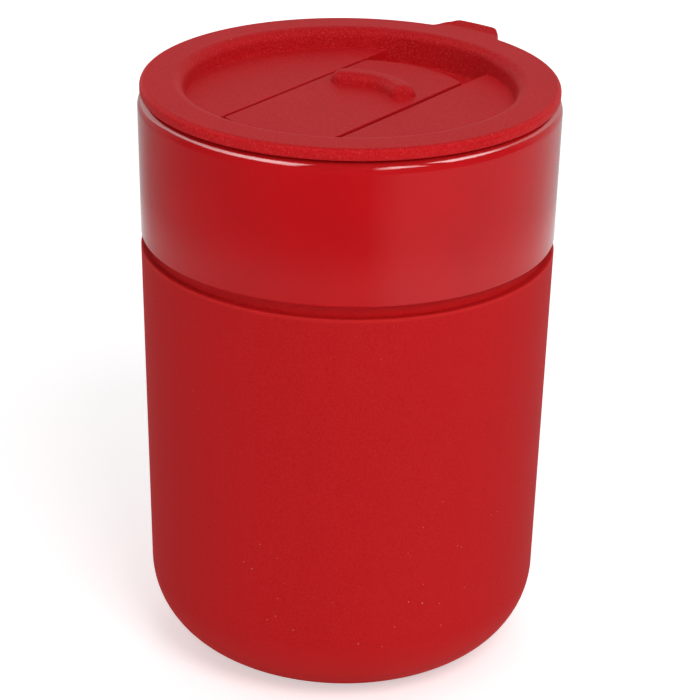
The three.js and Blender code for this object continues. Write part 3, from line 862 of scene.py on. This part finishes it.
class MUG_OT_lid(Operator):
    """Lid body: rim with its lift tab, well, sunk track, and plug skirt with the sealing ring's groove"""

    bl_idname = "mug.lid"
    bl_label = "Lid body"

    def execute(self, context):
        lid, slider = context.scene.mug_lid, context.scene.mug_slider
        angles = lid_angles(lid)
        piece = ring_piece("lid_moulding", turned(lid_section(lid, angles), angles)[::-1])
        for opening in lid_openings(lid, slider):
            carve(piece, opening, "DIFFERENCE")
        dress(piece, "lid", "lid_body", "lid_plastic", lid)
        return {"FINISHED"}


def gasket_section(lid):
    """The sealing ring's closed section: a flat back, and two lips that lean up from its front."""
    outer, inner = gasket_high.x, lid.skirt_radius - 0.7 * MM
    root = (inner + outer) / 2
    bottom, top = gasket_low.z, gasket_high.z
    pitch = (top - bottom) / 2
    crease, back_edge = 0.15 * MM, 0.2 * MM
    lean, lip_round = 0.35 * MM, 0.12 * MM
    lips = [
        corner
        for foot in (bottom, bottom + pitch)
        for corner in (
            (root, foot + 0.2 * pitch, crease),
            (outer, foot + 0.5 * pitch + lean, lip_round),
            (root, foot + 0.8 * pitch, crease),
        )
    ]
    start = (inner, (bottom + top) / 2, 0)
    below = [(inner, bottom, back_edge), (root, bottom, crease)]
    above = [(root, top, crease), (inner, top, back_edge)]
    return soft_path([start, *below, *lips, *above, start], steps=6)[:-1]


class MUG_OT_gasket(Operator):
    """Sealing ring: a band in the skirt's groove with two soft lips that lean up"""

    bl_idname = "mug.gasket"
    bl_label = "Sealing ring"

    def execute(self, context):
        lid = context.scene.mug_lid
        piece = ring_piece("sealing_ring", turned(gasket_section(lid), full_turn(256)), loop=True)
        dress(piece, "lid", "lid_gasket", "seal_silicone", lid)
        return {"FINISHED"}


def ridge_height(slider, across, along):
    """Height of the thumb ridge over the slider's plate.

    The ridge follows an arc in plan, with round ends. A point's distance from the arc, over half the
    ridge's width, is m, from 0 on the crest to 1 at the foot. The height is that of the crest times
    (1 - m ** 3.6) ** 0.9: a broad dome with steep sides.
    """
    centre = slider.ridge_apex - slider.ridge_bow
    spread = math.asin(slider.ridge_half_chord / slider.ridge_bow)
    turn = np.arctan2(across, along - centre)
    nearest = np.clip(turn, -spread, spread)
    aside = across - slider.ridge_bow * np.sin(nearest)
    ahead = along - centre - slider.ridge_bow * np.cos(nearest)
    foot = np.clip(np.hypot(aside, ahead) / slider.ridge_half_width, 0, 1)
    breadth, shoulder = 3.6, 0.9
    return slider.ridge_height * (1 - foot ** breadth) ** shoulder


def turned_bar(y, profile):
    """Rings of a small turned bar whose axis stands on the track's middle line at y."""
    rings = turned(soft_path(profile, steps=5), full_turn(48))
    rings[..., 1] += y
    return rings


def slider_rings(slider):
    """Rings of the slider's plate: its top spread from the axis, raised by the ridge, and its eased side."""
    plan = (slider.half_width, slider.near, slider.far)
    angles = joined_angles(full_turn(420), corner_angles(*plan))
    outline = track_radius(angles, *plan)
    flat = slider.edge + 0.1 * MM
    inner = track_radius(angles, *[size - flat for size in plan])
    radius = np.linspace(0, 1, 150)[:, None] * inner
    across, along = radius * np.cos(angles), radius * np.sin(angles)
    top = np.stack([across, along, slider.top + ridge_height(slider, across, along)], axis=-1)
    underside = slider.top - slider.thickness
    corners = [
        (inner, slider.top, 0),
        (outline, slider.top, slider.edge),
        (outline, underside, slider.edge),
        (0, underside, 0),
    ]
    side = soft_path(corners, steps=6)[1:]
    return np.concatenate([top, turned(side, angles)])[::-1]


class MUG_OT_slider(Operator):
    """Slider: an eased plate with a bowed thumb ridge, posts with flattened heads and a seal pocket"""

    bl_idname = "mug.slider"
    bl_label = "Slider"

    def execute(self, context):
        lid, slider = context.scene.mug_lid, context.scene.mug_slider
        piece = ring_piece("slider_plate", slider_rings(slider))
        underside = slider.top - slider.thickness
        root = underside + 0.8 * MM
        head_bottom, head_top = slider_low.z, keeper_low.z - FIT
        crease = 0.1 * MM
        post = [
            (0, head_bottom, 0),
            (slider.head_radius, head_bottom, 0.3 * MM),
            (slider.head_radius, head_top, 0.2 * MM),
            (slider.post_radius, head_top, crease),
            (slider.post_radius, root, crease),
            (0, root, 0),
        ]
        for y in (slider.post_near, slider.post_far):
            carve(piece, turned_bar(y, post), "UNION")
        pocket = seal_corners(seal_high.x + FIT, -seal_low.y + FIT, seal_high.y + FIT)
        tool = rounded_plate(pocket, underside - 1.0 * MM, seal_high.z + FIT, 0.2 * MM)
        carve(piece, tool, "DIFFERENCE")
        dress(piece, "slider", "lid_slider", "lid_plastic", lid)
        return {"FINISHED"}


def seal_corners(half, near, far):
    """Corners of a plan with a near end that bows round the lid's axis and a straight far end."""
    spread = math.asin(half / near)
    between = 7
    corner_round, bow_round = 1.0 * MM, 6.0 * MM
    rounds = [corner_round, *[bow_round] * between, corner_round]
    bow = -math.pi / 2 + np.linspace(-spread, spread, between + 2)
    ends = [(near * math.cos(turn), near * math.sin(turn), size) for turn, size in zip(bow, rounds)]
    return [*ends, (half, far, corner_round), (-half, far, corner_round)]


class MUG_OT_slider_fittings(Operator):
    """Keeper plate under the track and soft seal pad under the slider"""

    bl_idname = "mug.slider_fittings"
    bl_label = "Slider fittings"

    def execute(self, context):
        lid, slider = context.scene.mug_lid, context.scene.mug_slider
        plan = box_corners(keeper_low.x, keeper_high.x, keeper_low.y, keeper_high.y, 3.0 * MM)
        keeper = ring_piece("keeper_plate", rounded_plate(plan, keeper_low.z, keeper_high.z, 0.3 * MM))
        radius = slider.post_radius + FIT
        low, high = keeper_low.z - 1.0 * MM, keeper_high.z + 1.0 * MM
        for y in (slider.post_near, slider.post_far):
            bore = turned_bar(y, [(0, low, 0), (radius, low, 0), (radius, high, 0), (0, high, 0)])
            carve(keeper, bore, "DIFFERENCE")
        dress(keeper, "slider", "slider_keeper", "lid_plastic", lid)
        plan = seal_corners(seal_high.x, -seal_low.y, seal_high.y)
        pad = ring_piece("seal_pad", rounded_plate(plan, seal_low.z, seal_high.z, 0.2 * MM))
        dress(pad, "slider", "slider_seal", "seal_silicone", lid)
        return {"FINISHED"}


def seen_rays(tree):
    """One for the rays that show a background: the camera's own, mirrored ones and those through glass."""
    rays = tree.nodes.new("ShaderNodeLightPath").outputs
    mirrored = maths(tree, "MAXIMUM", rays["Is Camera Ray"], rays["Is Glossy Ray"])
    return maths(tree, "MAXIMUM", mirrored, rays["Is Transmission Ray"])


def floor_material(stage):
    """Pale floor: lit as any surface, and lifted to white for the camera, so that only shadows stay grey.

    The lift grows with the distance from the mug, to white all over where no shadow reaches.
    """
    material, tree, shader, place = new_material("pale_floor")
    tone = use_group(tree, "soft_mottle", place, Scale=3.0)["Amount"]
    near, far, least_lift = 0.3, 0.9, 0.5
    fade = ramp(tree, off_axis(tree, place), near, far, least_lift, 1.0)
    fill(
        tree,
        shader,
        Base_Color=mixed(tree, tone, tinted(stage.floor, 0.99), stage.floor),
        Roughness=0.9,
        Specular_IOR_Level=0.0,
        Emission_Color=WHITE,
        Emission_Strength=maths(tree, "MULTIPLY", seen_rays(tree), fade),
    )
    return material


def studio_shade(turn, on_floor, reach, tilt):
    """Brightness of the studio as gloss sees it.

    It goes by the turn off the camera's side, the reach over the floor and the tilt above it.
    The floor goes from dark in front to pale behind, brighter on the right, and pales in a ring
    near the mug. Above it the room is dim, with a pale wall behind and soft boxes: a long one that
    curves over the left, and a short one and a long one on the right. A box has a middle height and
    a tone that change with the turn, and fades out above and below as a parabola.
    """
    degrees, up = np.degrees(turn), np.degrees(tilt)
    floor_turns = [-180, -155, -147, -140, -131, -112, -83, -60, -20, 9, 28, 90, 112, 131, 140, 147, 180]
    floor_tones = [0.7, 0.5, 0.47, 0.41, 0.32, 0.26, 0.15, 0.08, 0, 0, 0.33, 0.39, 0.47, 0.6, 0.62, 0.58, 0.5]
    ring_reach, ring_tones = [0.2, 0.245, 0.278], [0.12, 0.27, 0]
    ground = np.interp(degrees, floor_turns, floor_tones) + np.interp(reach, ring_reach, ring_tones)
    behind = np.clip((np.abs(degrees) - 95) / 50, 0, 1)
    low = np.clip((70 - up) / 40, 0, 1)
    dim, wall_right, wall_left = 0.04, 0.70, 0.60
    room = dim + np.where(degrees > 0, wall_right, wall_left) * behind * low

    def box(half_height, turns, middles, tones):
        off = (up - np.interp(degrees, turns, middles)) / half_height
        tone = np.interp(degrees, turns, tones, left=0, right=0)
        return tone * np.clip(1.6 * (1 - off ** 2), 0, 1)

    left = box(
        14, [-160, -132, -118, -100, -60, -36, -31], [12, 24, 40, 48, 56, 57, 57], [0, 1.2, 3, 5, 11, 8, 0]
    )
    right = box(9, [15, 20, 34, 45, 50], [47, 48, 54, 51, 49], [0, 5, 11, 6, 0])
    far_right = box(10, [62, 68, 96, 108, 130, 150], [54, 54, 49, 45, 28, 12], [0, 12, 9, 2.2, 1.0, 0])
    return np.where(on_floor, ground, room + left + right + far_right)


# Each lamp's turn off the camera's side and tilt in degrees, distance and size in metres, and watts.
LAMPS = {
    "key_lamp": (24, 48, 1.1, 0.5, 3.8),
    "top_lamp": (30, 78, 1.2, 0.8, 0.7),
    "back_lamp": (180, 45, 1.1, 0.5, 0.7),
    "front_low_lamp": (14, 1, 1.1, 0.2, 3.6),
    "left_low_lamp": (-95, 1, 1.1, 0.2, 2.6),
    "right_low_lamp": (100, 1, 1.1, 0.2, 1.6),
    "back_low_lamp": (180, 1, 1.1, 0.2, 2.6),
}
LAMP_AIM = Vector((0, 0, 80 * MM))
AIR_LIGHT = 0.36  # what the world gives to surfaces, where 1 is white
WHITE = (1, 1, 1, 1)


def make_floor(stage):
    """A flat disc: rings of growing radius just under the table's height, with a turned-down edge."""
    level, edge_drop = -0.05 * MM, 20 * MM
    radius = np.array([0, 0.05, 0.2, 0.8, 3.0, 3.0])[:, None]
    rings = turned(np.stack([radius, np.full_like(radius, level)], axis=1), full_turn(96))
    rings[-1, :, 2] -= edge_drop
    floor = ring_piece("floor", rings[::-1])
    floor.data.materials.append(floor_material(stage))


def make_surroundings(stage):
    """A floor ring and a dome over it, seen only by gloss, with the studio's brightness at each point."""
    size, ring_height, dome_height = 1.5, 0.4 * MM, 0.5 * MM
    ring = np.geomspace(0.03, size, 40)
    ring = np.concatenate([ring[:1], ring])
    tilt = np.linspace(0, math.pi / 2, 91)
    radius = np.concatenate([ring, size * np.cos(tilt)])
    height = np.concatenate([np.full_like(ring, ring_height), size * np.sin(tilt) + dome_height])
    path = np.stack([radius, height], axis=1)[:, :, None]
    room = ring_piece("studio_room", turned(path, full_turn(360)))
    points = np.empty(len(room.data.vertices) * 3, np.float32)
    room.data.vertices.foreach_get("co", points)
    x, y, z = points.reshape(-1, 3).T
    sine, cosine = math.sin(stage.azimuth), math.cos(stage.azimuth)
    turn = np.arctan2(x * cosine + y * sine, x * sine - y * cosine)
    reach = np.hypot(x, y)
    on_floor = z < (ring_height + dome_height) / 2
    shade = studio_shade(turn, on_floor, reach, np.arctan2(z, reach)).astype(np.float32)
    room.data.attributes.new("studio_tone", "FLOAT", "POINT").data.foreach_set("value", shade)
    material = bpy.data.materials.new("studio_room")
    material.use_nodes = True
    material.cycles.emission_sampling = "NONE"
    tree = material.node_tree
    tree.nodes.remove(tree.nodes["Principled BSDF"])
    tone = tree.nodes.new("ShaderNodeAttribute")
    tone.attribute_name = "studio_tone"
    glow = add_node(tree, "ShaderNodeEmission", Strength=tone.outputs["Fac"])
    fill(tree, tree.nodes["Material Output"], Surface=glow.outputs["Emission"])
    room.data.materials.append(material)
    for kind in ("camera", "diffuse", "transmission", "volume_scatter", "shadow"):
        setattr(room, "visible_" + kind, False)


def make_lights(context, stage):
    """A pale world, white to the camera, and soft lamps placed round the mug by turn and tilt."""
    world = bpy.data.worlds.new("studio_air")
    context.scene.world = world
    world.use_nodes = True
    tree = world.node_tree
    strength = ramp(tree, seen_rays(tree), 0, 1, AIR_LIGHT, 1.0)
    fill(tree, tree.nodes["Background"], Color=WHITE, Strength=strength)
    for name, (turn, tilt, distance, size, power) in LAMPS.items():
        data = bpy.data.lights.new(name, "AREA")
        data.shape = "DISK"
        data.size = size
        data.energy = power
        lamp = bpy.data.objects.new(name, data)
        bearing = stage.azimuth + math.radians(turn)
        level = math.cos(math.radians(tilt)) * distance
        rise = math.sin(math.radians(tilt)) * distance
        lamp.location = (math.sin(bearing) * level, -math.cos(bearing) * level, rise)
        lamp.rotation_euler = (LAMP_AIM - lamp.location).to_track_quat("-Z", "Y").to_euler()
        lamp.visible_glossy = False
        lamp.visible_camera = False
        context.scene.collection.objects.link(lamp)


def make_camera(context, stage):
    """A camera set by its turn round the mug, distance, height, pitch and roll."""
    data = bpy.data.cameras.new("camera")
    data.sensor_width = 36
    data.lens = stage.focal
    data.shift_x = stage.shift
    data.clip_start = 0.01
    sine, cosine = math.sin(stage.azimuth), math.cos(stage.azimuth)
    level = math.cos(stage.pitch)
    forward = Vector((-sine * level, cosine * level, -math.sin(stage.pitch)))
    level_right = Vector((cosine, sine, 0))
    level_up = level_right.cross(forward)
    right = math.cos(stage.roll) * level_right + math.sin(stage.roll) * level_up
    up = math.cos(stage.roll) * level_up - math.sin(stage.roll) * level_right
    camera = bpy.data.objects.new("camera", data)
    turn = Matrix((right, up, -forward)).transposed().to_4x4()
    place = Vector((stage.distance * sine, -stage.distance * cosine, stage.height))
    camera.matrix_world = Matrix.Translation(place) @ turn
    context.scene.collection.objects.link(camera)
    context.scene.camera = camera


class MUG_OT_stage(Operator):
    """Floor, soft lights, studio surroundings for the gloss, and the camera"""

    bl_idname = "mug.stage"
    bl_label = "Stage"

    def execute(self, context):
        stage = context.scene.mug_stage
        make_floor(stage)
        make_surroundings(stage)
        make_lights(context, stage)
        make_camera(context, stage)
        context.scene.view_settings.view_transform = "Standard"
        return {"FINISHED"}


OPERATORS = (
    MUG_OT_cup,
    MUG_OT_sleeve,
    MUG_OT_lid,
    MUG_OT_gasket,
    MUG_OT_slider,
    MUG_OT_slider_fittings,
    MUG_OT_stage,
)


class MUG_PT_sidebar(Panel):
    """Lists the mug's pieces and their settings."""

    bl_label = "Travel mug"
    bl_idname = "MUG_PT_sidebar"
    bl_space_type = "VIEW_3D"
    bl_region_type = "UI"
    bl_category = "Mug"

    def draw(self, context):
        for operator in OPERATORS:
            self.layout.operator(operator.bl_idname)
        for name, group in SETTINGS.items():
            box = self.layout.box()
            box.label(text=group.__doc__)
            for label in group.__annotations__:
                box.prop(getattr(context.scene, name), label)


CLASSES = (*SETTINGS.values(), *OPERATORS, MUG_PT_sidebar)


def register():
    for item in CLASSES:
        bpy.utils.register_class(item)
    for name, group in SETTINGS.items():
        setattr(bpy.types.Scene, name, PointerProperty(type=group))


def unregister():
    for name in SETTINGS:
        delattr(bpy.types.Scene, name)
    for item in reversed(CLASSES):
        bpy.utils.unregister_class(item)


def main():
    register()
    bpy.ops.mug.cup()
    bpy.ops.mug.sleeve()
    bpy.ops.mug.lid()
    bpy.ops.mug.gasket()
    bpy.ops.mug.slider()
    bpy.ops.mug.slider_fittings()
    bpy.ops.mug.stage()


if __name__ == "__main__":
    main()
